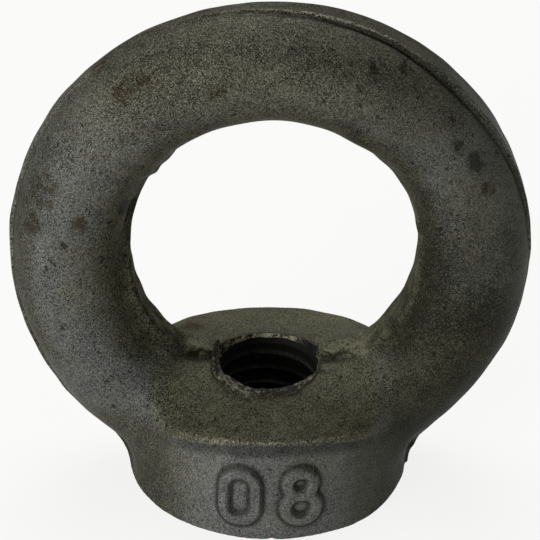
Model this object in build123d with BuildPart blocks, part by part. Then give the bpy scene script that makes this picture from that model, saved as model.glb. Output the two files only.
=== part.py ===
"""Lifting eye nut, M8: a drop-forged ring on a short round base with a tapped hole.

Millimetres, +Z up. The origin is on the thread's axis, in the plane of the machined bottom face.
The ring stands in the XZ plane, which is also the parting plane of the forging dies.
"""
import os
from math import radians, sqrt, tan

from build123d import *

# Ring, measured over the trimmed flash; it stands on the base, which makes the whole 36 high
ring_outer_diameter = 36.0
ring_section_diameter = 8.0
leg_spread = 1.5           # the legs swing on a larger arc, centred this far across the axis
leg_sweep = 66.0           # degrees below the ring centre, where the legs end inside the base
leg_root_radius = 1.5

# Flash line left by the trimming tool, and the eye that the punch opens
flash_width = 1.2
flash_height = 0.15
ridge_rise = 1.1           # the ridge of the base stands up this far inside the eye's circle
eye_corner_radius = 3.0
base_flash_height = 0.45   # the line stands further out down the sides of the base
base_flash_start = 0.4     # facing the bottom removes the lowest part of it

# Base
base_diameter = 20.0
base_draft = 6.0           # degrees, the side narrows upward
bottom_chamfer = 0.25
ridge_height = 9.1         # over the flash, which crosses the top from leg to leg
roof_slope = 11.0          # degrees, falling to the front and to the back
ridge_radius = 6.0
rim_radius = 0.9

# Thread M8 x 1.25, as its plain bore
thread_minor_diameter = 6.65
countersink_diameter = 8.2
countersink_angle = 120.0
countersink_setback = 0.5  # the top countersink starts this far below the ridge

# Worked out from the sizes above
ring_outer_radius = ring_outer_diameter / 2
section_radius = ring_section_diameter / 2
section_centre = ring_outer_radius - flash_height - section_radius
eye_radius = ring_outer_radius - ring_section_diameter
ring_centre_z = ridge_height - ridge_rise + eye_radius
overall_height = ring_centre_z + ring_outer_radius
base_radius = base_diameter / 2
base_draft_run = ridge_height * tan(radians(base_draft))
roof_height = ridge_height - flash_height
roof_drop = base_radius * tan(radians(roof_slope))
bore_radius = thread_minor_diameter / 2
countersink_radius = countersink_diameter / 2
countersink_z = ridge_height - countersink_setback

# Round section of the ring on its right side, lying level at the height of the ring's centre
with BuildSketch(Plane.XY.offset(ring_centre_z)) as ring_section:
    with Locations((section_centre, 0)):
        Circle(section_radius)

# Outline that the punch opens: the eye's circle, closed below by the ridge of the base
with BuildSketch(Plane.XZ) as eye_outline:
    with Locations((0, ring_centre_z)):
        Circle(eye_radius)
    with Locations((0, ridge_height)):
        Rectangle(base_diameter, ring_centre_z, align=(Align.CENTER, Align.MAX), mode=Mode.SUBTRACT)
    fillet(eye_outline.vertices(), eye_corner_radius)

# Crown: half a turn of the section over the top
with BuildPart() as crown:
    add(ring_section.sketch)
    revolve(axis=Axis((0, 0, ring_centre_z), (0, 1, 0)), revolution_arc=-180)

# Legs: the same section carried down into the base, each about an axis set across by the spread
with BuildPart() as legs:
    add(ring_section.sketch)
    revolve(axis=Axis((-leg_spread, 0, ring_centre_z), (0, 1, 0)), revolution_arc=leg_sweep)
    mirror(about=Plane.YZ)
    split(bisect_by=Plane.XY, keep=Keep.TOP)

# Base: a drafted boss with a roof-shaped top and a rounded rim
with BuildPart() as base:
    with BuildSketch(Plane.YZ) as half_profile:
        with BuildLine():
            Polyline(
                (0, 0),
                (base_radius, 0),
                (base_radius - base_draft_run, ridge_height),
                (0, ridge_height),
                close=True,
            )
        make_face()
        chamfer(half_profile.vertices().group_by(Axis.X)[-1], bottom_chamfer)
    revolve(axis=Axis.Z)
    with BuildSketch(Plane.YZ) as roof:
        with BuildLine():
            Polyline(
                (-base_radius, 0),
                (base_radius, 0),
                (base_radius, roof_height - roof_drop),
                (0, roof_height),
                (-base_radius, roof_height - roof_drop),
                close=True,
            )
        make_face()
        fillet(roof.vertices().sort_by(Axis.Y)[-1], ridge_radius)
    extrude(amount=base_radius, both=True, mode=Mode.INTERSECT)
    upper_edges = base.edges().filter_by_position(Axis.Z, ridge_height / 2, ridge_height)
    fillet(upper_edges.filter_by(GeomType.LINE, reverse=True), rim_radius)

# Trimmed flash: a thin plate on the parting plane, from the outer line in to the eye
with BuildPart() as flash:
    with BuildSketch(Plane.XZ):
        leg_arc_radius = ring_outer_radius + leg_spread
        flash_x = base_radius + base_flash_height
        flash_top_z = ring_centre_z - sqrt(leg_arc_radius**2 - (flash_x + leg_spread) ** 2)
        with BuildLine():
            side = Line((flash_x, base_flash_start), (flash_x, flash_top_z))
            leg = RadiusArc(side @ 1, (ring_outer_radius, ring_centre_z), -leg_arc_radius)
            RadiusArc(leg @ 1, (0, overall_height), -ring_outer_radius)
            Line((0, base_flash_start), side @ 0)
            mirror(about=Plane.YZ)
        make_face()
        add(eye_outline.sketch_local, mode=Mode.SUBTRACT)
    extrude(amount=flash_width / 2, both=True)

# Punch: what the eye's outline takes out of the ring's inner side
with BuildPart() as punch:
    extrude(eye_outline.sketch, amount=section_radius, both=True)

# The whole forging, then the machining
with BuildPart() as eye_nut:
    add(crown.part)
    add(legs.part)
    add(base.part)
    meeting_edges = eye_nut.edges(Select.NEW)
    leg_roots = meeting_edges.filter_by_position(Axis.Z, 0, ridge_height, inclusive=(False, True))
    fillet(leg_roots, leg_root_radius)
    add(flash.part)
    add(punch.part, mode=Mode.SUBTRACT)
    with Locations(Plane.XY.offset(countersink_z)):
        CounterSinkHole(bore_radius, countersink_radius, countersink_z, countersink_angle)
    with Locations(-Plane.XY):
        CounterSinkHole(bore_radius, countersink_radius, ridge_height, countersink_angle)

eye_nut.part.label = "eye_nut"
os.makedirs("parts", exist_ok=True)
export_step(eye_nut.part, "parts/eye_nut.step")
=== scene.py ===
from math import pi, radians, tan

import bpy
import numpy as np
from mathutils import Matrix, Vector

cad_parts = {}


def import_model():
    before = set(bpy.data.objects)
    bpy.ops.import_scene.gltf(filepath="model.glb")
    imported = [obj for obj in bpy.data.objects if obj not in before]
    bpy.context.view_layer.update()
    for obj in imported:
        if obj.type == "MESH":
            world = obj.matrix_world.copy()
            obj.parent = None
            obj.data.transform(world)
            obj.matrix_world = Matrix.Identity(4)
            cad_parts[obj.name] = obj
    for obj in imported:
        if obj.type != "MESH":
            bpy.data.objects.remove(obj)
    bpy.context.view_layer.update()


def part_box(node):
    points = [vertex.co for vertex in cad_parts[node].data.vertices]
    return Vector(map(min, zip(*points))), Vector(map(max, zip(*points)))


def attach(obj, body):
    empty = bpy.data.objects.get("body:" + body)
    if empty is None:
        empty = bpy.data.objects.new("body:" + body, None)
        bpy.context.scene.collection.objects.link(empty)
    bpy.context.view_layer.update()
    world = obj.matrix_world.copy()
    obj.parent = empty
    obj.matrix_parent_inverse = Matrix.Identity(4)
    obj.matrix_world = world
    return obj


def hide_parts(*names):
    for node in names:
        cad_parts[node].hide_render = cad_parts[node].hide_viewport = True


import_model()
mm = 0.001

# Shapes are worked out in millimetres around the frame's own box, and go into their meshes in metres
nutLow, nutHigh = (np.array(corner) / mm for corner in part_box("eye_nut"))
outerRadius = (nutHigh[0] - nutLow[0]) / 2
eyeZ = nutHigh[2] - outerRadius
print("frame loaded: ring radius", round(float(outerRadius), 2), "eye at z", round(float(eyeZ), 2))


# 0 up to low, 1 from high on, an S curve between
def ramp(value, low, high):
    t = np.clip((value - low) / (high - low), 0, 1)
    return t * t * (3 - 2 * t)


# 1 at the centre, falling to 0 as a bell of that width
def bell(value, centre, width):
    return np.exp(-(((value - centre) / width) ** 2))


# The amount at a place, falling away from it as a bell of that width
def peak(value, amount, place, width):
    return amount * bell(value, place, width)


# The amount up to low, nothing from high on
def below(value, amount, low, high):
    return amount * ramp(-value, -high, -low)


# The amount times a sine wave of so many radians for each unit
def wave(value, amount, rate, phase=0.0):
    return amount * np.sin(value * rate + phase)


# The lesser of two distances, rounded over the width where they are close
def blendMin(a, b, width):
    near = np.maximum(width - np.abs(a - b), 0) / width
    return np.minimum(a, b) - near * near * width / 4


# The greater of two distances, rounded in the same way
def blendMax(a, b, width):
    return -blendMin(-a, -b, width)


# Sum of plane waves in random directions, about -1 to 1; their lengths spread around the one given
def unevenness(x, y, z, length, seed, waves=14):
    rng = np.random.default_rng(seed)
    total = np.zeros(np.broadcast(x, y, z).shape)
    for direction, stretch, phase in zip(
        rng.normal(size=(waves, 3)), rng.uniform(0.6, 1.5, waves), rng.uniform(0, 2 * pi, waves)
    ):
        along = direction / np.linalg.norm(direction) * 2 * pi / (length * stretch)
        total += np.sin(along[0] * x + along[1] * y + along[2] * z + phase)
    return total / np.sqrt(waves)


# An object from points in mm and faces as lists of their numbers; each attribute has a value for each point
def meshObject(name, points, faces, attributes=None):
    mesh = bpy.data.meshes.new(name)
    mesh.from_pydata((points * mm).tolist(), [], faces)
    for key, values in (attributes or {}).items():
        mesh.attributes.new(key, "FLOAT", "POINT").data.foreach_set("value", values.astype(np.float32))
    mesh.update()
    piece = bpy.data.objects.new(name, mesh)
    bpy.context.scene.collection.objects.link(piece)
    return piece


# Lengths are in mm. A peak is given as its amount, its place and its width, here with turns in radians, and
# a wave as its amount, its rate and its phase
ring = {
    "sectionRadius": 3.93,
    "sectionCentre": outerRadius - 4.15,
    "rightShift": (0.20, 0.0, 0.45),  # the bar lies further out at the right
    "upperRightThin": (0.23, 0.65, 0.5),  # and is thinner at the upper right
    "topTrim": 0.10,  # how far the trimmed outline is inside its radius over the top
    "topTrimSine": (0.1, 0.6),
    "trims": [(0.17, 0.78, 0.40), (0.07, 2.04, 0.14), (-0.06, 1.84, 0.12)],
    "trimWave": (-0.012, 13),
    "landHalfWidth": 0.55,  # trimmed flash round the outside
    "landWider": (0.70, 0.72, 0.70),  # wider over the upper right
    "landWave": (0.06, 9, 1),
    "landWander": (0.12, 2),  # how far its middle strays from the parting plane
    "landCorner": 0.12,
    "landFoot": 0.10,
    "innerFrom": (1, 2),  # no land this far inside the section's centre
    "eyeRadius": 10.0,
    "eyeX": 0.31,  # the punch stood a little to the right
    "eyeCorner": 0.9,
    "eyeEdge": 0.25,
}
legs = {
    "spread": 1.5,  # the legs swing on a larger arc, centred this far across
    "leftMiddle": (0.17, 11, 5),  # fuller by a peak over the height
    "leftFoot": (0.48, 5.5, 10.5),  # and by this amount up to a height, fading to another
    "rightMiddle": (0.30, 9.5, 5),
    "rightFoot": (0.22, 4, 7),
    "swellFrom": (0, 3),  # both grow from the eye's centre down
    "sidesMeet": (-2, 2),
    "flashFrom": (5.0, 7.6),  # distance across over which the ridge's flash becomes the leg's
    "flashFront": -2.00,  # the sheared flash up the legs, from front to back
    "flashBack": 0.85,
    "rightMore": 0.45,
    "rightFrom": (2, 6),
    "flashWave": (0.10, 2.9),
    "flashLower": 0.25,  # how far it stays under the ring's bar
    "flashLowerAbove": 0.8,
    "flashRoot": (0.06, 0.8),  # how widely it runs in: on the ridge, and more up the legs
    "upperHalf": (-3, 1),  # height over the eye's centre where the flash runs out
}
base = {
    "radius": 10.0,
    "draft": 6.0,
    "ridgeZ": 9.45,  # where the punch stopped, over the flash along the ridge
    "roofZ": 8.95,
    "roofSlope": 9.6,
    "backSlope": 10.2,
    "frontDroop": 0.026,  # the roof's front falls to both sides by this times x squared
    "droopFrom": (2, 6),
    "roofRounding": 1.3,
    "rimWidth": 0.5,
    "flashFront": -0.45,  # the flash along the ridge, from front to back
    "flashBack": 1.25,
    "flashWaves": [(0.12, 3.7), (0.06, 9.1, 1)],
    "rootWidth": 1.9,  # how widely the ring runs into the base
    "cornerByHole": (0.65, 0.4, 1.5),  # less widely beside the hole: share, y and its width
    "cornerAcross": (4.8, 1.6),  # and the distance across and its width
    "bottomWidth": 0.12,
    "frontFuller": (0.20, 0.70, 0.25),  # the right of the front bulges, by a peak over the turn
    "fullerBelow": (0, 4),
    "landHalfWidth": 0.6,  # the land down the sides
    "landCorner": 0.2,
    "landTopWave": (0.06, 2.1),
    "leftLand": -0.20,  # how far it stands out
    "rightLand": 0.22,
}
figures = {
    "height": 4.4,
    "width": 3.1,
    "gap": 1.3,
    "stroke": 0.40,
    "rise": 0.36,
    "soft": 0.34,
    "x": 0.1,
    "z": 3.35,
    "rounding": 0.92,  # of the figures' corners, as a share of half their width
    "waist": 0.54,  # how high the lower loop of the 8 reaches, as a share
    "upperNarrow": 0.84,
    "fromY": (5, 7),  # how far in front of the axis they fade in
}


# Distance from the line of an oval ring with straight sides: a box of the half sizes, rounded by its width
def ovalLine(u, w, halfWide, halfHigh):
    rounding = halfWide * figures["rounding"]
    du = np.abs(u) - halfWide + rounding
    dw = np.abs(w) - halfHigh + rounding
    outside = np.hypot(np.maximum(du, 0), np.maximum(dw, 0))
    return np.abs(outside + np.minimum(np.maximum(du, dw), 0) - rounding)


# Distance from the foot of the raised figures 0 and 8, along the base's side: under 0 on the figures
def figureGap(x, y, z):
    halfWide = figures["width"] / 2 - figures["stroke"]
    halfHigh = figures["height"] / 2 - figures["stroke"]
    step = (figures["width"] + figures["gap"]) / 2
    u = base["radius"] * np.arctan2(x, -y) - figures["x"]
    w = z - figures["z"]
    lowShare, highShare = figures["waist"], 1 - figures["waist"]
    nought = ovalLine(u + step, w, halfWide, halfHigh)
    narrow = halfWide * figures["upperNarrow"]
    upper = ovalLine(u - step, w - halfHigh * lowShare, narrow, halfHigh * highShare)
    lower = ovalLine(u - step, w + halfHigh * highShare, halfWide, halfHigh * lowShare)
    nearest = np.minimum(nought, np.minimum(upper, lower))
    return nearest - figures["stroke"] - figures["soft"] / 2


# Height of the base's roof over the ground: a rounded ridge along x that falls to the front and the back
def roofHeight(x, y):
    fall = np.sqrt(y * y + base["roofRounding"] ** 2) - base["roofRounding"]
    slope = np.where(y < 0, base["roofSlope"], base["backSlope"])
    droop = base["frontDroop"] * x * x * ramp(-y, *base["droopFrom"])
    return base["roofZ"] - fall * np.tan(np.radians(slope)) - droop


# Distance outside the base's drafted side: the distance from the axis less the radius at that height
def fromSide(x, y, z):
    return np.hypot(x, y) - base["radius"] + z * tan(radians(base["draft"]))


# How much fuller a leg is than its arc: a peak part way down, and more towards the foot
def legSwell(z, left):
    leftSwell = peak(z, *legs["leftMiddle"]) + below(z, *legs["leftFoot"])
    rightSwell = peak(z, *legs["rightMiddle"]) + below(z, *legs["rightFoot"])
    return left * leftSwell + (1 - left) * rightSwell


# Turn around the eye's centre, from the right, in radians, and distance from that centre
def aroundEye(x, z):
    return np.arctan2(z - eyeZ, x), np.hypot(x, z - eyeZ)


# Half the width of the flash land round the outside: even but for a peak over the upper right and a wave
def landHalf(turn):
    return ring["landHalfWidth"] + peak(turn, *ring["landWider"]) + wave(turn, *ring["landWave"])


# How far the trimmed outline lies inside its radius: a share over the top, some peaks and a wave
def trimDepth(turn):
    over = ring["topTrim"] * ramp(np.sin(turn), *ring["topTrimSine"])
    return over + sum(peak(turn, *trim) for trim in ring["trims"]) + wave(turn, *ring["trimWave"])


# Distance outside the ring: a round bar bent to a circle, on wider arcs below its centre, and its flash land
def ringDistance(x, y, z):
    up = z - eyeZ
    turn = np.arctan2(up, x)
    spread = np.where(up < 0, legs["spread"], 0)
    swell = legSwell(z, ramp(-x, *legs["sidesMeet"])) * ramp(-up, *legs["swellFrom"])
    across = np.abs(x) + spread - swell
    reach = np.hypot(across, up) - spread
    centre = ring["sectionCentre"] + peak(turn, *ring["rightShift"])
    bar = np.hypot(reach - centre, y) - ring["sectionRadius"] + peak(turn, *ring["upperRightThin"])
    innerSide = ramp(centre - reach, *ring["innerFrom"])
    halfWidth = landHalf(turn) * (1 - innerSide) - innerSide
    landEdge = reach - outerRadius + trimDepth(turn)
    land = blendMax(np.abs(y + wave(turn, *ring["landWander"])) - halfWidth, landEdge, ring["landCorner"])
    return blendMin(bar, land, ring["landFoot"])


# Distance from the edge that the punch sheared: the eye's circle, closed below by the ridge, corners rounded
def eyeDistance(x, z):
    circle = np.hypot(x - ring["eyeX"], z - eyeZ) - ring["eyeRadius"]
    return blendMax(circle, base["ridgeZ"] - z, ring["eyeCorner"])


# Distance outside the base: a drafted round boss, its roof, the land down its sides and the raised figures
def baseDistance(x, y, z):
    raised = ramp(-figureGap(x, y, z), 0, figures["soft"]) * ramp(-y, *figures["fromY"])
    figured = figures["rise"] * raised
    fuller = peak(np.arctan2(x, -y), *base["frontFuller"]) * below(z, 1, *base["fullerBelow"])
    side = fromSide(x, y, z) - figured - fuller
    boss = blendMax(side, z - roofHeight(x, y), base["rimWidth"])
    landTop = z - base["ridgeZ"] - wave(x, *base["landTopWave"])
    standsOut = np.where(x < 0, base["leftLand"], base["rightLand"])
    landEnd = np.maximum(np.abs(x) - base["radius"] - standsOut, landTop)
    land = blendMax(np.abs(y) - base["landHalfWidth"], landEnd, base["landCorner"])
    return blendMin(boss, land, base["landCorner"])


# Front and back edge of the flash that the punch left inside the eye, ragged by waves: the ridge's and the
# leg's, mixed by the distance across
def flashEdges(x, z):
    onLeg = ramp(np.abs(x), *legs["flashFrom"])
    ragged = sum(wave(x, *each) for each in base["flashWaves"]) * (1 - onLeg)
    ragged = ragged + wave(z, *legs["flashWave"]) * onLeg
    front = base["flashFront"] * (1 - onLeg) + legs["flashFront"] * onLeg + ragged
    legBack = legs["flashBack"] + legs["rightMore"] * ramp(x, *legs["rightFrom"])
    back = base["flashBack"] * (1 - onLeg) + legBack * onLeg - ragged
    return front, back, onLeg


# Distance outside that flash, which reaches inward until the punch cuts it
def flashDistance(x, y, z):
    front, back, onLeg = flashEdges(x, z)
    _, reach = aroundEye(x, z)
    upperHalf = ramp(z - eyeZ, *legs["upperHalf"])
    sides = np.maximum(front - y, y - back)
    lower = legs["flashLower"] * onLeg + legs["flashLowerAbove"] * upperHalf
    return np.maximum(sides, reach - ring["sectionCentre"]) + lower


faults = {  # turns are in degrees, but for the lap's
    "lumps": [  # a peak over the turn, and place and width over y
        ((0.24, 142, 2.8), (-1.2, 1.8)),
        ((0.08, 12, 4), (-1.0, 1.2)),
    ],
    "hollows": [(0.24, 144, 13), (-0.14, 135.5, 4.5), (-0.14, 56, 8), (0.05, 32, 10), (-0.10, -30, 6)],
    "innerSide": (10.4, 11.6),  # distance from the eye's centre over which they fade
    "tearTurn": (163, 6),
    "tearY": (-1.1, 0.35),
    "tearDepth": 0.35,
    "lapTurn": (1.12, 0.42),  # in radians
    "lapFromLand": 0.17,
    "lapWidth": 0.15,
    "lapDepth": 0.15,
    "lapInside": (0.8, 1.1),  # distance inside the outline over which it fades
    "notch": (0.15, 0.2, 0.28),  # a peak over x
    "notchHeight": 0.5,
    "notchFrom": (8, 9),
    "unevenness": [(0.035, 7, 3), (0.018, 2.2, 8)],  # amount, length of the waves and seed
}


# The dark tear inside the eye at the left, 1 in its middle
def tearShare(x, y, z):
    turn, reach = aroundEye(x, eyeZ + np.abs(z - eyeZ))
    inner = below(reach, 1, *faults["innerSide"]) * ramp(z, eyeZ - 1, eyeZ)
    return inner * bell(np.degrees(turn), *faults["tearTurn"]) * bell(y, *faults["tearY"])


# The lap over the crown: a groove along the foot of the flash land, 1 in its middle
def lapShare(x, y, z):
    turn, reach = aroundEye(x, z)
    outside = below(outerRadius - reach, 1, *faults["lapInside"])
    groove = -landHalf(turn) - wave(turn, *ring["landWander"]) - faults["lapFromLand"]
    return outside * bell(turn, *faults["lapTurn"]) * bell(y, groove, faults["lapWidth"])


# Small faults, as a height: lumps, hollows and a tear inside the eye, the lap, and a notch at the foot
def faultHeight(x, y, z):
    turn, reach = aroundEye(x, z)
    turn = np.degrees(turn)
    lumps = sum(peak(turn, *across) * bell(y, *along) for across, along in faults["lumps"])
    hollows = sum(peak(turn, *each) for each in faults["hollows"])
    notch = peak(x, *faults["notch"]) * bell(z, 0, faults["notchHeight"]) * ramp(-y, *faults["notchFrom"])
    cuts = faults["tearDepth"] * tearShare(x, y, z) + faults["lapDepth"] * lapShare(x, y, z) + notch
    return below(reach, 1, *faults["innerSide"]) * (lumps - hollows) - cuts


# Distance outside the whole forging: ring and base run together, less the eye, above the faced bottom
def forgingDistance(x, y, z):
    narrower = peak(y, *base["cornerByHole"]) * bell(np.abs(x), *base["cornerAcross"])
    body = blendMin(ringDistance(x, y, z), baseDistance(x, y, z), base["rootWidth"] * (1 - narrower))
    onRidge, more = legs["flashRoot"]
    flashRoot = onRidge + more * ramp(np.abs(x), *legs["flashFrom"])
    body = blendMin(body, flashDistance(x, y, z), flashRoot)
    body = blendMax(body, -eyeDistance(x, z), ring["eyeEdge"])
    body = body - faultHeight(x, y, z)
    for amount, length, seed in faults["unevenness"]:
        body = body - amount * unevenness(x, y, z, length, seed)
    return blendMax(body, -z, base["bottomWidth"])


grid = {
    "baseStep": 0.42,  # degrees between sections through the base
    "ringStep": 1.30,
    "baseReach": 40,  # degrees to each side that the finer sections cover
    "aroundDense": 1440,
    "around": 212,
    "halvings": 17,
    "farthest": 13.0,
    "perLength": 0.45,  # density of a section's points: even, by bend and by detail
    "perBend": 1.1,
    "perDetail": 1.3,
    "least": 0.0025,
    "figuresFrom": (7.5, 8.8),  # where the detail of the figures lies, to the front and across
    "figuresAcross": (5.0, 6.0),
    "mouthAcross": (4.5, 5.0),  # and the mouth's
    "mouthHeight": (9, 1.5),
    "bendSpan": 6,  # dense points over which a bend is taken, and the share smoothed
    "smoothSpan": 8,
    "sharpFrom": 40,  # degrees between faces that are shaded as an edge
}


# Sections all round the eye, dense in the base: each point is the section's core point plus reach times
# (cos v outward + sin v along y). The reach is found by halving, where the distance is nought.
def denseSections():
    fine = np.arange(-90 - grid["baseReach"], -90 + grid["baseReach"], grid["baseStep"])
    coarse = np.arange(fine[-1] + grid["ringStep"], fine[0] + 360 - grid["ringStep"] / 2, grid["ringStep"])
    turn = np.radians(np.concatenate([fine, coarse]))[:, None]
    v = np.linspace(0, 2 * pi, grid["aroundDense"], endpoint=False)[None, :]

    def place(reach):
        level = ring["sectionCentre"] + reach * np.cos(v)
        return level * np.cos(turn), reach * np.sin(v) * np.ones_like(turn), eyeZ + level * np.sin(turn)

    near = np.zeros((turn.size, v.size))
    far = np.full((turn.size, v.size), grid["farthest"])
    for _ in range(grid["halvings"]):
        middle = (near + far) / 2
        inside = forgingDistance(*place(middle)) < 0
        near = np.where(inside, middle, near)
        far = np.where(inside, far, middle)
    return np.stack(place((near + far) / 2), -1)


# Each section's points dealt out again: a running total of length, bend and detail is cut into equal steps
def dealOut(dense):
    step = np.roll(dense, -1, 1) - dense
    length = np.linalg.norm(step, axis=-1)
    heading = step / np.maximum(length, 1e-9)[..., None]
    span, smooth = grid["bendSpan"], grid["smoothSpan"]
    bend = np.linalg.norm(np.roll(heading, -span, 1) - np.roll(heading, span, 1), axis=-1)
    x, y, z = dense[..., 0], dense[..., 1], dense[..., 2]
    byFigures = ramp(-y, *grid["figuresFrom"]) * below(np.abs(x), 1, *grid["figuresAcross"])
    byMouth = below(np.hypot(x, y), 1, *grid["mouthAcross"]) * bell(z, *grid["mouthHeight"])
    detail = byFigures + byMouth
    density = grid["perLength"] + grid["perBend"] * bend + grid["perDetail"] * detail
    share = length * density + grid["least"]
    share = (share + np.roll(share, smooth, 1) + np.roll(share, -smooth, 1)) / 3
    total = np.cumsum(share, 1)
    along = (total - share) / total[:, -1:]
    count = len(dense)
    rows = np.arange(count)[:, None]
    wanted = rows + np.arange(grid["around"])[None, :] / grid["around"]
    known = np.concatenate([along, np.ones((count, 1)) * (1 - 1e-9)], 1) + rows
    looped = np.concatenate([dense, dense[:, :1]], 1)
    axes = [np.interp(wanted.ravel(), known.ravel(), looped[..., i].ravel()) for i in range(3)]
    return np.stack(axes, -1)


marks = {  # widths and places in mm
    "hollowReach": 0.9,  # how far off the surface its neighbours are looked for
    "creviceReach": 0.30,
    "punchClean": (0.9, 1.6, 2.2),  # less painted shade in the crevices near the punch's edge, and along the roof at the left
    "leftClean": 0.95,
    "shearedWidth": (0.12, 0.30),  # full on the punch's edge up to the first, gone at the second
    "rimWidth": 0.065,
    "rimMiddle": 0.4,  # the rim is worn brightest round this x
    "rimEnds": 0.15,
    "rimSpan": (3.5, 5.5),
    "rimFrom": (4, 6),
    "rimDepth": (0.3, 0.5),  # how far off the roof its wear fades
    "edgeTurn": {"top": (1.42, 0.36), "right": (-0.30, 0.40)},
    "edgeWidth": {"top": 0.12, "right": 0.10, "left": 0.14},
    "edgeAmount": {"top": 1.0, "right": 0.6, "left": 0.30},
    "topDepth": (0.07, 0.15),  # how far inside the outline their wear fades
    "sideDepth": (0.2, 0.4),
    "mouthFrom": 0.08,
    "mouthWidth": 0.14,
    "seamFrom": 0.04,  # the painted shadow along the front of the ridge's flash, as a dark seam
    "seamWidth": 0.13,
    "seamLeftMore": 0.12,
    "figureWidth": 0.17,
    "amounts": {"mouth": 0.8, "mouthFront": 0.7, "tear": 1.1, "lap": 1.5, "seam": 1.2},
}


# How much of a short way off the surface its neighbours fill: 1 less the distance there over the way
def filledShare(points, normal, reach):
    return np.clip(1 - forgingDistance(*(points + normal * reach).T) / reach, 0, 1)


# Outward direction: the slope of the distance, by differences over a small step
def surfaceNormal(x, y, z, small=0.02):
    slope = np.stack([
        forgingDistance(x + small, y, z) - forgingDistance(x - small, y, z),
        forgingDistance(x, y + small, z) - forgingDistance(x, y - small, z),
        forgingDistance(x, y, z + small) - forgingDistance(x, y, z - small),
    ], -1)
    return slope / np.maximum(np.linalg.norm(slope, axis=-1), 1e-9)[:, None]


# Where the edges are worn bright: a bell across the base's rim, and bells along the edges of the flash land;
# the one over the crown is a painted highlight on the land's edge
def wornEdgesAndHighlight(x, y, z):
    fromRoof = z - roofHeight(x, y)
    rim = bell(fromSide(x, y, z), fromRoof, marks["rimWidth"])
    rim = rim * below(np.abs(fromRoof), 1, *marks["rimDepth"])
    middle = below(np.abs(x - marks["rimMiddle"]), 1 - marks["rimEnds"], *marks["rimSpan"])
    rim = rim * (marks["rimEnds"] + middle) * ramp(-y, *marks["rimFrom"])
    turn, reach = aroundEye(x, z)
    fromTop = outerRadius - trimDepth(turn) - reach
    width, amount, turns = marks["edgeWidth"], marks["edgeAmount"], marks["edgeTurn"]
    left = peak(y, amount["left"], -landHalf(turn), width["left"]) * ramp(-x, 9, 13)
    top = peak(y, amount["top"], -landHalf(turn) - 0.03, width["top"]) * bell(turn, *turns["top"])
    right = peak(y, amount["right"], -landHalf(turn), width["right"]) * bell(turn, *turns["right"])
    sides = (right + left) * below(fromTop, 1, *marks["sideDepth"])
    return rim + top * below(fromTop, 1, *marks["topDepth"]) + sides


# Painted shade drawn as dark lines: round the dish, in the tear, the lap and the seam, and round the figures
def paintedShadowLines(x, y, z):
    reach = np.hypot(x, y)
    dishEdge = mouth["radius"] + mouthWidth(np.arctan2(y, x)) + marks["mouthFrom"]
    amounts = marks["amounts"]
    dish = bell(reach, dishEdge, marks["mouthWidth"]) * ramp(z, 7.4, 7.8) * below(z, 1, 9.3, 9.6)
    dish = dish * (1 + amounts["mouthFront"] * ramp(-y, 1, 3))
    front, _, onLeg = flashEdges(x, z)
    seamWidth = marks["seamWidth"] + marks["seamLeftMore"] * ramp(-x, 3, 5)
    seam = bell(y, front - marks["seamFrom"], seamWidth) * (1 - onLeg)
    seam = seam * ramp(z, 8.3, 8.6) * below(z, 1, 9.5, 9.9) * ramp(reach, 3.9, 4.1)
    aroundFigures = bell(figureGap(x, y, z), 0, marks["figureWidth"]) * ramp(-y, *figures["fromY"])
    torn = amounts["tear"] * tearShare(x, y, z) + amounts["lap"] * lapShare(x, y, z)
    return amounts["mouth"] * dish + torn + amounts["seam"] * seam + aroundFigures


# What the steel's material reads at each point
def surfaceMarks(points):
    x, y, z = points.T
    normal = surfaceNormal(x, y, z)
    fromPunch = np.abs(eyeDistance(x, z))
    # Painted shade in creases and hollows, from how much of the space just off the surface the forging fills
    creviceShade = filledShare(points, normal, marks["creviceReach"])
    creviceShade = creviceShade * (1 - below(fromPunch, *marks["punchClean"]))
    creviceShade = creviceShade * (1 - marks["leftClean"] * ramp(-x, 1, 5) * ramp(z, 6, 8))
    return {
        "hollowShade": filledShare(points, normal, marks["hollowReach"]),
        "creviceShade": creviceShade,
        "rim": wornEdgesAndHighlight(x, y, z),
        "sheared": below(fromPunch, 1, *marks["shearedWidth"]),
        "outline": paintedShadowLines(x, y, z),
    }


# The sections joined into one closed surface: every four neighbouring points are a face
def forging():
    dense = denseSections()
    points = dealOut(dense)
    count, around = len(dense), grid["around"]
    i, j = np.meshgrid(np.arange(count), np.arange(around), indexing="ij")
    nextI, nextJ = (i + 1) % count, (j + 1) % around
    corners = [i * around + j, i * around + nextJ, nextI * around + nextJ, nextI * around + j]
    faces = np.stack(corners, -1).reshape(-1, 4)
    print("forging:", count, "sections of", around, "points")
    return meshObject("forging", points, faces.tolist(), surfaceMarks(points))


tap = {
    "pitch": 1.25,
    "minorRadius": 3.325,
    "majorRadius": 3.98,
    "flankSlope": 1.732,  # radius lost for each mm along the axis
    "rootFlat": 1 / 12,  # half the flat at a root, as a share of the pitch
    "around": 112,
    "perPitch": 12,
    "lowZ": -2.0,
    "highZ": 8.6,
    "sinkAngle": 60.0,  # half the bottom cone's angle, from the axis
    "sinkLimit": 4.0,
    "bottomDepth": 0.45,
    "wornZ": (7.45, 7.85),  # between these heights the thread runs out to the worn radius
    "wornRadius": 3.35,
    "fanRise": 0.5,
}


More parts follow.
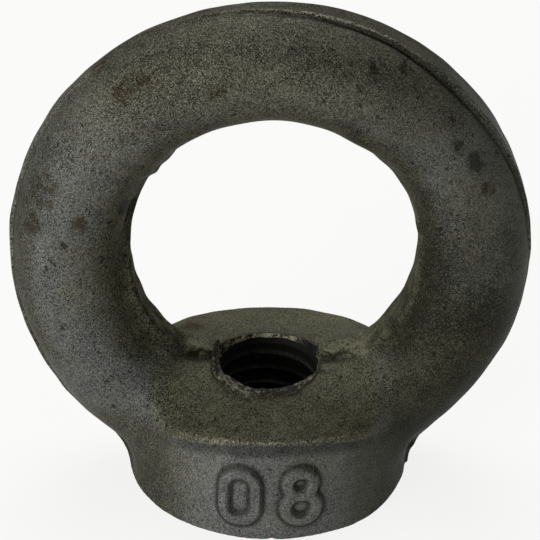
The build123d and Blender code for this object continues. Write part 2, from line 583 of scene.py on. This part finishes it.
mouth = {
    "radius": 3.56,  # the first turn is worn to this
    "frontLess": 0.19,
    "frontSine": (0.3, 1),
    "innerWaves": [(0.03, 11), (0.02, 23)],
    "floorZ": 8.38,
    "floorWave": (0.03, 7),
    "belowRoof": 0.02,  # the dish's outer edge lies this far under the roof
    "lipDepth": 0.14,  # the scraping also shows this far down the wall
    "lipLess": 0.06,
    "wornDepth": 1.3,
    "width": 0.10,  # the dish scraped round it
    "lean": 1.10,  # how much wider the dish is at the front left
    "leanTurn": 250.0,
    "leanPower": 3,
    "widthWaves": [(0.08, 9), (0.06, 17, 2)],
    "rise": 0.10,  # how much it rises outward, in mm per mm
    "around": 288,
    "top": 12.0,
}


# Width of the dish scraped round the mouth: a least width, and a raised cosine's power at the front left
def mouthWidth(turn):
    share = 0.5 + 0.5 * np.cos(turn - radians(mouth["leanTurn"]))
    ragged = 1 + sum(wave(turn, *each) for each in mouth["widthWaves"])
    return (mouth["width"] + mouth["lean"] * share ** mouth["leanPower"]) * ragged


# Loops of points, each a radius and a height for every direction, from the lowest up; a fan closes each end
def loopedPlug(name, radii, heights):
    count, n = len(radii), radii[0].size
    turn = 2 * pi * np.arange(n) / n
    loops = [np.stack([r * np.cos(turn), r * np.sin(turn), h], -1) for r, h in zip(radii, heights)]
    ends = [[0, 0, heights[0].min() - tap["fanRise"]], [0, 0, heights[-1].max() + tap["fanRise"]]]
    points = np.concatenate(loops + [ends])
    at = np.arange(count * n).reshape(count, n)
    quads = np.stack([at[:-1], np.roll(at[:-1], -1, 1), np.roll(at[1:], -1, 1), at[1:]], -1).reshape(-1, 4)
    lowFan = np.stack([np.full(n, count * n), np.roll(at[0], -1), at[0]], -1)
    highFan = np.stack([np.full(n, count * n + 1), at[-1], np.roll(at[-1], -1)], -1)
    return meshObject(name, points, quads.tolist() + lowFan.tolist() + highFan.tolist())


# The dish: its outer edge follows the roof, and its floor falls inward to the wall of the worn first turn
def mouthPlug():
    turn = 2 * pi * np.arange(mouth["around"]) / mouth["around"]
    frontLess = mouth["frontLess"] * ramp(-np.sin(turn), *mouth["frontSine"])
    inner = mouth["radius"] - frontLess + sum(wave(turn, *each) for each in mouth["innerWaves"])
    outer = mouth["radius"] + mouthWidth(turn)
    edge = roofHeight(outer * np.cos(turn), outer * np.sin(turn)) - mouth["belowRoof"]
    highest = mouth["floorZ"] + wave(turn, *mouth["floorWave"])
    floor = np.minimum(edge - (outer - inner) * mouth["rise"], highest)
    worn = np.full(turn.size, tap["minorRadius"])
    radii = [worn, inner - mouth["lipLess"], inner, outer, outer]
    top = np.full(turn.size, mouth["top"])
    heights = [floor - mouth["wornDepth"], floor - mouth["lipDepth"], floor, edge, top]
    return loopedPlug("mouthPlug", radii, heights)


# Radius of the tapped hole: a V thread with flat crests, worn at its top, or the bottom's cone where wider
def tapRadius(z, row):
    fromRoot = np.abs(row / tap["perPitch"] % 1 - 0.5) * tap["pitch"]
    flank = np.maximum(fromRoot - tap["pitch"] * tap["rootFlat"], 0)
    worn = (tap["majorRadius"] - tap["wornRadius"]) * ramp(z, *tap["wornZ"])
    thread = tap["majorRadius"] - tap["flankSlope"] * flank - worn
    cone = tap["minorRadius"] + tan(radians(tap["sinkAngle"])) * (tap["bottomDepth"] - z)
    return np.maximum(np.maximum(thread, tap["minorRadius"]), np.minimum(cone, tap["sinkLimit"]))


# Rows climb one pitch a turn, so column n of row j is column 0 of row j + perPitch; a fan closes each end
def tapPlug():
    n, m = tap["around"], tap["perPitch"]
    rows = int((tap["highZ"] - tap["lowZ"]) / tap["pitch"] * m)
    row, column = np.meshgrid(np.arange(rows), np.arange(n), indexing="ij")
    turn = 2 * pi * column / n
    z = tap["lowZ"] + tap["pitch"] * (row / m + column / n)
    radius = tapRadius(z, row)
    points = np.stack([radius * np.cos(turn), radius * np.sin(turn), z], -1).reshape(-1, 3)
    ends = [[0, 0, tap["lowZ"] - tap["fanRise"]], [0, 0, z[-1].mean() + tap["fanRise"]]]
    points = np.concatenate([points, ends])
    at = row * n + column
    quads = np.stack([at[:-1, :-1], at[:-1, 1:], at[1:, 1:], at[1:, :-1]], -1).reshape(-1, 4)
    last, first = at[: rows - m, -1], at[m:, 0]
    seam = np.stack([last[:-1], first[:-1], first[1:], last[1:]], -1)
    lowLoop = np.concatenate([at[0], at[m:0:-1, 0]])
    highLoop = np.concatenate([at[-1], at[-2:-m - 2:-1, -1]])
    lowFan = np.stack([np.full(lowLoop.size, len(points) - 2), np.roll(lowLoop, -1), lowLoop], -1)
    highFan = np.stack([np.full(highLoop.size, len(points) - 1), highLoop, np.roll(highLoop, -1)], -1)
    faces = quads.tolist() + seam.tolist() + lowFan.tolist() + highFan.tolist()
    return meshObject("tapPlug", points, faces)


# A value socket that takes part in sums: each operator adds its Math node
class Wire:
    def __init__(self, paint, socket):
        self.paint, self.socket = paint, socket

    def __add__(self, other):
        return self.paint.math("ADD", self, other)

    def __sub__(self, other):
        return self.paint.math("SUBTRACT", self, other)

    def __rsub__(self, other):
        return self.paint.math("SUBTRACT", other, self)

    def __mul__(self, other):
        return self.paint.math("MULTIPLY", self, other)

    __radd__ = __add__
    __rmul__ = __mul__

    def abs(self):
        return self.paint.math("ABSOLUTE", self, 0)

    # 0 up to low, 1 from high on, an S curve between
    def between(self, low, high):
        sockets = {"Value": self, "From Min": low, "From Max": high}
        return self.paint.node("ShaderNodeMapRange", {"interpolation_type": "SMOOTHSTEP"}, sockets)

    # A noise, which averages a half, brought to swing about 0
    def swing(self, amount):
        return (self - 0.5) * amount


# The node tree of a material or the world, and the few ways that its nodes are added
class Paint:
    def __init__(self, owner, output="ShaderNodeOutputMaterial"):
        self.owner = owner
        owner.use_nodes = True
        self.tree = owner.node_tree
        self.tree.nodes.clear()
        self.output = self.tree.nodes.new(output)

    # Adds a node: its settings first, then a value or a link for each socket named or numbered
    def node(self, kind, settings=None, sockets=None, output=0):
        added = self.tree.nodes.new(kind)
        for key, value in (settings or {}).items():
            setattr(added, key, value)
        for key, value in (sockets or {}).items():
            if isinstance(value, Wire):
                self.tree.links.new(value.socket, added.inputs[key])
            else:
                added.inputs[key].default_value = value
        return Wire(self, added.outputs[output])

    # Object coordinates in mm
    def place(self):
        spot = self.node("ShaderNodeTexCoord", output="Object")
        return self.node("ShaderNodeVectorMath", {"operation": "SCALE"}, {0: spot, "Scale": 1 / mm})

    def noise(self, place, scale, detail=3.0, roughness=0.55, shift=0.0):
        offset = (shift, shift * 0.7, -shift)
        moved = self.node("ShaderNodeVectorMath", {"operation": "ADD"}, {0: place, 1: offset})
        sockets = {"Vector": moved, "Scale": scale, "Detail": detail, "Roughness": roughness}
        return self.node("ShaderNodeTexNoise", {}, sockets)

    def mix(self, factor, a, b, blend="MIX"):
        sockets = {0: factor, 6: a, 7: b}
        return self.node("ShaderNodeMix", {"data_type": "RGBA", "blend_type": blend}, sockets, output=2)

    def part(self, place, axis):
        return self.node("ShaderNodeSeparateXYZ", {}, {0: place}, output=axis)

    def attribute(self, name):
        return self.node("ShaderNodeAttribute", {"attribute_name": name}, output="Fac")

    # 1 within a ball around the point, falling to 0 at its edge
    def spot(self, place, centre, radius):
        sockets = {0: place, 1: centre}
        away = self.node("ShaderNodeVectorMath", {"operation": "DISTANCE"}, sockets, output="Value")
        return 1 - away.between(radius * 0.4, radius)

    # The place moved about by a coarse noise, up to that many mm across, so that spots get ragged edges
    def strayed(self, place, amount):
        sockets = {"Vector": place, "Scale": 1.6, "Detail": 3.0}
        wander = self.node("ShaderNodeTexNoise", {}, sockets, output="Color")
        sockets = {0: wander, 1: (amount,) * 3, 2: place}
        moved = self.node("ShaderNodeVectorMath", {"operation": "MULTIPLY_ADD"}, sockets)
        return self.node("ShaderNodeVectorMath", {"operation": "ADD"}, {0: moved, 1: (-amount / 2,) * 3})

    def math(self, operation, a, b):
        return self.node("ShaderNodeMath", {"operation": operation}, {0: a, 1: b})

    # The greatest of several masks
    def anyOf(self, first, *others):
        for other in others:
            first = self.math("MAXIMUM", first, other)
        return first

    def finish(self, shader):
        self.tree.links.new(shader.socket, self.output.inputs["Surface"])
        return self.owner


rustSpots = [  # centre and radius in mm
    ((-8.6, -3.3, 31.6), 1.3), ((-9.8, -3.2, 31.0), 1.2), ((-15.3, -3.1, 23.7), 1.7),
    ((-16.1, -3.1, 21.1), 1.2), ((-12.8, -4.0, 21.6), 0.8), ((-3.4, -4.0, 31.3), 0.9),
    ((14.5, -3.5, 24.2), 0.8), ((-11.4, -0.1, 31.9), 1.4), ((12.0, -3.3, 28.9), 0.8),
    ((-5.8, 4.7, 8.0), 1.5), ((-6.7, -0.6, 10.1), 1.0),
]
darkSpots = [
    ((-13.9, -4.0, 20.0), 0.38), ((-13.6, -4.0, 18.7), 0.30), ((-15.3, -3.7, 18.1), 0.35),
    ((8.7, -2.4, 32.7), 0.7), ((6.6, -3.1, 33.0), 0.6), ((10.3, -2.6, 31.4), 0.5),
    ((13.6, -3.4, 26.2), 1.1), ((12.4, -3.6, 27.4), 0.8), ((-9.8, -2.3, 22.0), 0.9),
]
paleSpots = [((8.6, -3.8, 30.5), 0.26), ((9.3, -3.9, 29.5), 0.22)]
steel = {
    "dark": (0.008, 0.008, 0.007, 1),
    "pale": (0.265, 0.270, 0.255, 1),
    "oliveDark": (0.011, 0.011, 0.006, 1),
    "olivePale": (0.225, 0.222, 0.145, 1),
    "rust": (0.370, 0.275, 0.165, 1),
    "bright": (0.480, 0.470, 0.370, 1),
    # the dark of the pits and spots, and of the painted shade
    "pitsAndShade": (0.008, 0.008, 0.006, 1),
    "edgeTint": (0.30, 0.30, 0.27, 1),
    "sheen": 0.35,
    "metallic": 0.45,
    "roughness": 0.52,
    "bump": 0.8,
    "bumpDepth": 0.12,  # mm
    "relief": {"grit": 0.6, "fine": 0.25, "clump": 0.9, "pits": 0.5},
    "roughGrit": 0.4,  # how much rougher with the grit, less where worn, more where torn
    "roughWorn": 0.15,
    "roughTorn": 0.25,
    "stray": 1.6,  # mm that spots of rust and dirt are pushed about
    "rustShare": 0.9,
    "pitShare": 0.75,
    "wornShare": 0.85,
    "ground": 0.34,  # tone from dark to pale before grain and areas
    "ridgePaler": 0.32,  # the sheared flash along the ridge, and up the right leg
    "legPaler": 0.20,
}
grain = {  # scale for each mm, detail, roughness and shift of each noise
    "cloud": (0.16, 4, 0.6),
    "clump": (1.0, 4, 0.65, 31),
    "grit": (5.5, 3, 0.75, 11),
    "fine": (12.0, 2, 0.8, 23),
    "patches": (0.80, 5, 0.75, 41),
    "pits": (1.7, 2, 0.5, 57),
}
speckle = {  # how strongly each noise sets the tone
    "fine": 2.6,
    "grit": 1.2,
    "clump": 0.4,
    "cloud": 0.5,
    "tornClump": 1.4,  # on the sheared flash
    "tornGrit": 0.8,
    "calmRight": 0.35,  # and how much less or more in some areas
    "calmLow": 0.12,
    "strongTop": 0.5,
}
limits = {  # where a noise or a mark begins to show, and where it is full
    "oliveCloud": (0.50, 0.68),
    "rustPatch": (0.58, 0.68),
    "rustClump": (0.36, 0.56),
    "pit": (0.68, 0.73),
    "hollowShade": (0.12, 0.60),
    "creviceShade": (0.10, 0.45),
    "edge": (0.46, 0.54),
    "spark": (0.58, 0.68),
}
strength = {
    "oliveCloud": 0.6,
    "rustPatch": 0.7,
    "hollowShade": 0.75,
    "creviceShade": 0.9,
    "outline": 0.8,
    "underRim": 0.5,
    "spark": 0.3375,
}
paintedLightAndShade = {  # how much lighter each area is, or darker where under 0: painted light and shade for how light falls on the right, low right, top, inner side, outer left, front middle, base sides, roof and the arc where the bar turns in
    "rightSide": -0.09,
    "lowRight": -0.20,
    "innerSide": -0.12,
    "outerLeft": -0.14,
    "frontMiddle": 0.10,
    "baseSides": -0.15,
    "roofShade": 0.05,
    "middleRight": 0.03,
    "top": -0.08,
    "upperLeft": 0.015,
    "arc": -0.055,
}
greener = {  # how olive each area is
    "baseTop": 1,
    "farRight": 0.5,
    "baseSides": 0.8,
    "outerLeft": 0.7,
    "crown": 0.75,
    "innerSide": 1,
    "greenRight": 0.9,
}


# The areas of the part, 1 within each: every one is a product of S curves over places in mm
def steelAreas(p, x, y, z):
    left, front, across = x * -1, y * -1, x.abs()
    level = z - float(eyeZ)
    fromAxis = p.math("SQRT", x * x + level * level, 0)
    roofLevel = z + x * x * base["frontDroop"]
    baseTop = roofLevel.between(7.3, 7.5) * (1 - z.between(9.4, 11.5)) * (1 - across.between(6.5, 9.5))
    baseFront = 1 - z.between(5, 7.5)
    outerLow = fromAxis.between(15.6, 17.4) * z.between(8, 11) * (1 - z.between(22, 29))
    # A band where the bar's top turns to the front, darkened as painted shade
    arc = (1 - (fromAxis - 16).abs().between(0.2, 1.1)) * front.between(2, 3)
    # A band under the base's rim, darkened as painted shade
    underRim = roofLevel.between(6.3, 6.9) * (1 - roofLevel.between(7.25, 7.45))
    return {
        "baseTop": baseTop,
        "baseFront": baseFront,
        "baseSides": baseFront * across.between(3.8, 8.4),
        "frontMiddle": (1 - z.between(5.6, 6.8)) * (1 - across.between(4, 9.5)),
        "underRim": underRim * front.between(5, 8),
        "roofShade": baseTop * (x.between(1, 5) + y.between(2, 6) * 2 + 0.6),
        "rightSide": x.between(1, 12) * (1 - z.between(20, 28) * 0.7) * (1 - baseTop),
        "lowRight": x.between(7, 11) * (1 - z.between(13, 23)),
        "greenRight": x.between(3, 11) * (1 - z.between(12, 22)),
        "farRight": x.between(9, 13) * (1 - z.between(24, 30)),
        "middleRight": x.between(9, 13) * z.between(13, 18) * (1 - z.between(20, 26)),
        "innerSide": (1 - fromAxis.between(10.8, 13.6)) * z.between(9.5, 11),
        "outerLeft": outerLow * left.between(2, 8),
        "top": z.between(27, 34),
        "crown": z.between(22, 33),
        "upperLeft": z.between(23, 29) * left.between(2, 9),
        "arc": arc * z.between(30, 33) * x.between(-6, 0),
        "legFlash": z.between(9.8, 10.8),
    }


# Forging scale: fine pale grit on a dark ground, olive on the tops, rust, painted shade in hollows, worn
# edges; also painted light and shade by area and a painted highlight on the crown's edge
def forgedSteel():
    p = Paint(bpy.data.materials.new("forgedSteel"))
    place = p.place()
    x, y, z = (p.part(place, axis) for axis in range(3))
    cloud, clump, grit, fine = (p.noise(place, *grain[name]) for name in ("cloud", "clump", "grit", "fine"))
    names = ("hollowShade", "creviceShade", "rim", "sheared", "outline")
    hollowShade, creviceShade, rim, sheared, outline = (p.attribute(name) for name in names)
    areas = steelAreas(p, x, y, z)

    contrast = 1 - x.between(1, 8) * speckle["calmRight"] - (1 - z.between(7, 14)) * speckle["calmLow"]
    contrast = contrast + areas["baseTop"] * speckle["strongTop"]
    speckled = fine.swing(speckle["fine"]) + grit.swing(speckle["grit"]) + clump.swing(speckle["clump"])
    tone = steel["ground"] + speckled * contrast + cloud.swing(speckle["cloud"])
    # Painted light and shade: each area's tone is raised or lowered
    for name, amount in paintedLightAndShade.items():
        tone = tone + areas[name] * amount
    torn = (clump.swing(speckle["tornClump"]) + grit.swing(speckle["tornGrit"])) * contrast
    onLeg, onRidge = areas["legFlash"], 1 - areas["legFlash"]
    paler = onRidge * steel["ridgePaler"] + x.between(4, 7) * onLeg * steel["legPaler"]
    tone = tone + sheared * (paler + torn)
    tone = p.node("ShaderNodeClamp", {}, {0: tone})
    green = [areas[name] * share for name, share in greener.items()]
    olive = p.anyOf(sheared, cloud.between(*limits["oliveCloud"]) * strength["oliveCloud"], *green)
    scale = p.mix(tone, steel["dark"], steel["pale"])
    colour = p.mix(olive, scale, p.mix(tone, steel["oliveDark"], steel["olivePale"]))

    ragged = p.strayed(place, steel["stray"])
    patches = p.noise(place, *grain["patches"]).between(*limits["rustPatch"]) * strength["rustPatch"]
    rusty = p.anyOf(patches, *(p.spot(ragged, *spot) for spot in rustSpots))
    rusty = rusty * clump.between(*limits["rustClump"]) * steel["rustShare"]
    colour = p.mix(rusty, colour, steel["rust"], "MULTIPLY")
    pits = p.noise(place, *grain["pits"]).between(*limits["pit"])
    pitted = p.anyOf(pits, *(p.spot(ragged, *spot) for spot in darkSpots))
    colour = p.mix(pitted * (1 - areas["baseFront"]) * steel["pitShare"], colour, steel["pitsAndShade"])

    # Painted shade in hollows and creases, along the dark lines and under the rim
    paintedShade = p.anyOf(
        hollowShade.between(*limits["hollowShade"]) * strength["hollowShade"],
        creviceShade.between(*limits["creviceShade"]) * strength["creviceShade"],
        outline * strength["outline"],
        areas["underRim"] * strength["underRim"],
    )
    colour = p.mix(paintedShade, colour, steel["pitsAndShade"])
    # Worn edges, and a painted highlight along the land's edge over the crown
    edges = rim * (grit * 0.5 + fine * 0.5).between(*limits["edge"])
    sparks = fine.between(*limits["spark"]) * areas["crown"] * strength["spark"]
    worn = p.anyOf(edges, sparks, *(p.spot(place, *spot) for spot in paleSpots))
    colour = p.mix(worn * steel["wornShare"], colour, steel["bright"])

    rough = grit.swing(steel["roughGrit"]) - worn * steel["roughWorn"] + sheared * steel["roughTorn"]
    relief = steel["relief"]
    height = grit * relief["grit"] + fine * relief["fine"] + clump * relief["clump"]
    height = height - pitted * relief["pits"]
    sockets = {"Height": height, "Strength": steel["bump"], "Distance": steel["bumpDepth"] * mm}
    return p.finish(p.node("ShaderNodeBsdfPrincipled", {}, {
        "Base Color": colour, "Roughness": rough + steel["roughness"], "Metallic": steel["metallic"],
        "Specular Tint": steel["edgeTint"], "Specular IOR Level": steel["sheen"],
        "Normal": p.node("ShaderNodeBump", {}, sockets),
    }))


threadSteel = {
    "dark": (0.012, 0.012, 0.011, 1),
    # a painted highlight along the crests
    "crestHighlight": (0.042, 0.041, 0.033, 1),
    "crestRadius": (3.33, 3.42),
    "grit": (4.0, 3, 0.7),  # scale for each mm, detail and roughness
    "gritShows": (0.35, 0.65),
    "wornZ": (7.2, 7.6),  # above here the painted highlight on the crests is nearly gone
    "wornShare": 0.85,
    "roughness": 0.7,
    "metallic": 0.35,
    "sheen": 0.12,
}


# Cut thread: dark oily steel, with a painted highlight along its crests
def cutThread():
    p = Paint(bpy.data.materials.new("cutThread"))
    place = p.place()
    across = p.node("ShaderNodeVectorMath", {"operation": "MULTIPLY"}, {0: place, 1: (1, 1, 0)})
    radius = p.node("ShaderNodeVectorMath", {"operation": "LENGTH"}, {0: across}, output="Value")
    unworn = 1 - p.part(place, 2).between(*threadSteel["wornZ"]) * threadSteel["wornShare"]
    grit = p.noise(place, *threadSteel["grit"]).between(*threadSteel["gritShows"])
    crestHighlight = (1 - radius.between(*threadSteel["crestRadius"])) * grit * unworn
    return p.finish(p.node("ShaderNodeBsdfPrincipled", {}, {
        "Base Color": p.mix(crestHighlight, threadSteel["dark"], threadSteel["crestHighlight"]),
        "Roughness": threadSteel["roughness"], "Metallic": threadSteel["metallic"],
        "Specular IOR Level": threadSteel["sheen"],
    }))


scraping = {
    "dark": (0.010, 0.010, 0.006, 1),
    "pale": (0.300, 0.285, 0.195, 1),
    # the colour of the painted shade in the recess
    "gap": (0.010, 0.010, 0.008, 1),
    "recessShadeSpot": ((3.3, 2.2, 8.7), 1.9),  # painted shade in the recess at the back right: centre and radius
    "grit": (4.6, 3, 0.75),  # scale for each mm, detail, roughness and shift
    "clump": (1.6, 3, 0.7, 5),
    "gritShare": 0.65,
    "clumpShare": 0.35,
    "tone": (0.46, 0.60),
    "backLighter": 0.05,
    "backFrom": (1.5, 3.5),
    "frontDarker": 0.07,
    "frontFrom": (2.8, 3.6),
    "frontAcross": (-1.2, 0.4),
    "roughness": 0.55,
    "metallic": 0.45,
    "sheen": 0.3,
    "bump": 0.8,
    "bumpDepth": 0.10,
}


# The scraped dish and burr round the mouth: bright speckles on dark, duller at the front, with painted shade
# in the recess at the back right
def scrapedMouth():
    p = Paint(bpy.data.materials.new("scrapedMouth"))
    place = p.place()
    grit, clump = p.noise(place, *scraping["grit"]), p.noise(place, *scraping["clump"])
    x, y = p.part(place, 0), p.part(place, 1)
    front = (y * -1).between(*scraping["frontFrom"]) * x.between(*scraping["frontAcross"])
    back = y.between(*scraping["backFrom"])
    tone = grit * scraping["gritShare"] + clump * scraping["clumpShare"]
    tone = tone + back * scraping["backLighter"] - front * scraping["frontDarker"]
    colour = p.mix(tone.between(*scraping["tone"]), scraping["dark"], scraping["pale"])
    # Painted shade in the recess at the back right
    colour = p.mix(p.spot(place, *scraping["recessShadeSpot"]), colour, scraping["gap"])
    sockets = {"Height": grit + clump, "Strength": scraping["bump"], "Distance": scraping["bumpDepth"] * mm}
    return p.finish(p.node("ShaderNodeBsdfPrincipled", {}, {
        "Base Color": colour, "Roughness": scraping["roughness"], "Metallic": scraping["metallic"],
        "Specular IOR Level": scraping["sheen"], "Normal": p.node("ShaderNodeBump", {}, sockets),
    }))


# The forging less the tapped hole; faces cut by the plug take the plug's material
def eyeNut():
    body, plugs = forging(), (tapPlug(), mouthPlug())
    materials = forgedSteel(), cutThread(), scrapedMouth()
    for piece in (body, *plugs):
        for material in materials:
            piece.data.materials.append(material)
    for plug in plugs:
        count = len(plug.data.polygons)
        scraped = (plug.name == "mouthPlug") * (np.arange(count) >= mouth["around"])
        plug.data.polygons.foreach_set("material_index", (1 + scraped).astype(np.int32))
        drill = body.modifiers.new(plug.name, "BOOLEAN")
        drill.operation, drill.solver, drill.object = "DIFFERENCE", "MANIFOLD", plug
    bpy.context.view_layer.update()
    drilled = bpy.data.meshes.new_from_object(body.evaluated_get(bpy.context.evaluated_depsgraph_get()))
    body.modifiers.clear()
    body.data = drilled
    for plug in plugs:
        bpy.data.objects.remove(plug)
    drilled.polygons.foreach_set("use_smooth", np.ones(len(drilled.polygons), bool))
    drilled.set_sharp_from_angle(angle=radians(grid["sharpFrom"]))
    body.name = "eyeNut"
    print("eye nut:", len(drilled.polygons), "faces")
    return body


nut = eyeNut()
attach(nut, "root")
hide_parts("eye_nut")


studio = {
    "floorSize": 3.0,  # metres
    "floorDrop": 0.02,  # mm under the part
    "floorColour": (0.9, 0.9, 0.88, 1),
    "floorGlow": (1, 1, 0.99, 1),
    "glowShare": 0.85,  # the rest of the floor takes shadow
    "worldStrength": 0.17,
    "lamps": [  # name, place in mm, size in mm, watts
        ("topLamp", (-20, 140, 400), 260, 1.0),
        ("leftLamp", (-310, -315, 95), 190, 1.40),
    ],
}


# Matt and pale, and shown nearly white to the camera and in reflections
def plainFloor():
    p = Paint(bpy.data.materials.new("plainFloor"))
    rays = ("Is Camera Ray", "Is Glossy Ray", "Is Transmission Ray")
    seen = p.anyOf(*(p.node("ShaderNodeLightPath", output=ray) for ray in rays))
    matt = p.node("ShaderNodeBsdfDiffuse", {}, {"Color": studio["floorColour"]})
    glow = p.node("ShaderNodeEmission", {}, {"Color": studio["floorGlow"], "Strength": 1.0})
    return p.finish(p.node("ShaderNodeMixShader", {}, {0: seen * studio["glowShare"], 1: matt, 2: glow}))


# One square face just under the part
def floorPlane():
    half = studio["floorSize"] / 2 / mm
    corners = np.array([[-half, -half, 0], [half, -half, 0], [half, half, 0], [-half, half, 0]])
    corners[:, 2] = -studio["floorDrop"]
    floor = meshObject("floor", corners, [[0, 1, 2, 3]])
    floor.data.materials.append(plainFloor())
    return floor


# Puts a lamp or the camera at a place in mm, turned towards the target and rolled by some degrees
def aim(thing, place, target, roll=0.0):
    thing.location = Vector(place) * mm
    direction = (Vector(target) - Vector(place)).normalized()
    level = direction.to_track_quat("-Z", "Y").to_matrix().to_4x4()
    thing.rotation_euler = (level @ Matrix.Rotation(radians(roll), 4, "Z")).to_euler()
    bpy.context.scene.collection.objects.link(thing)


# Square area lights that look at the eye's centre
def lamps():
    for name, place, size, watts in studio["lamps"]:
        light = bpy.data.lights.new(name, "AREA")
        light.size, light.energy = size * mm, watts
        aim(bpy.data.objects.new(name, light), place, (0, 0, eyeZ))


# White to the camera, and a weak even light on the part
def world():
    p = Paint(bpy.data.worlds.new("studioWorld"), "ShaderNodeOutputWorld")
    plain = studio["worldStrength"]
    bright = p.node("ShaderNodeLightPath", output="Is Camera Ray") * (1 - plain) + plain
    background = p.node("ShaderNodeBackground", {}, {"Color": (1, 1, 1, 1), "Strength": bright})
    bpy.context.scene.world = p.finish(background)


view = {
    "rise": 29.52,  # degrees above level
    "turn": 0.715,  # degrees round to the left
    "roll": 0.69,
    "distance": 150.0,  # mm, from a point at centreZ over the foot
    "centreZ": 17.33,
    "aimZ": 15.91,
    "lens": 143.76,
    "sensor": 36,
    "clip": (0.005, 10),  # metres
}


# The camera stands at the distance in the direction that rise and turn give
def camera():
    lens = bpy.data.cameras.new("camera")
    lens.lens, lens.sensor_width = view["lens"], view["sensor"]
    lens.clip_start, lens.clip_end = view["clip"]
    rise, turn = radians(view["rise"]), radians(view["turn"])
    toward = np.array([-np.sin(turn) * np.cos(rise), -np.cos(turn) * np.cos(rise), np.sin(rise)])
    place = toward * view["distance"] + [0, 0, view["centreZ"]]
    eye = bpy.data.objects.new("camera", lens)
    aim(eye, place, (0, 0, view["aimZ"]), view["roll"])
    bpy.context.scene.camera = eye


floorPlane()
lamps()
world()
camera()
bpy.context.scene.view_settings.view_transform = "Standard"
print("floor, lamps and camera set")
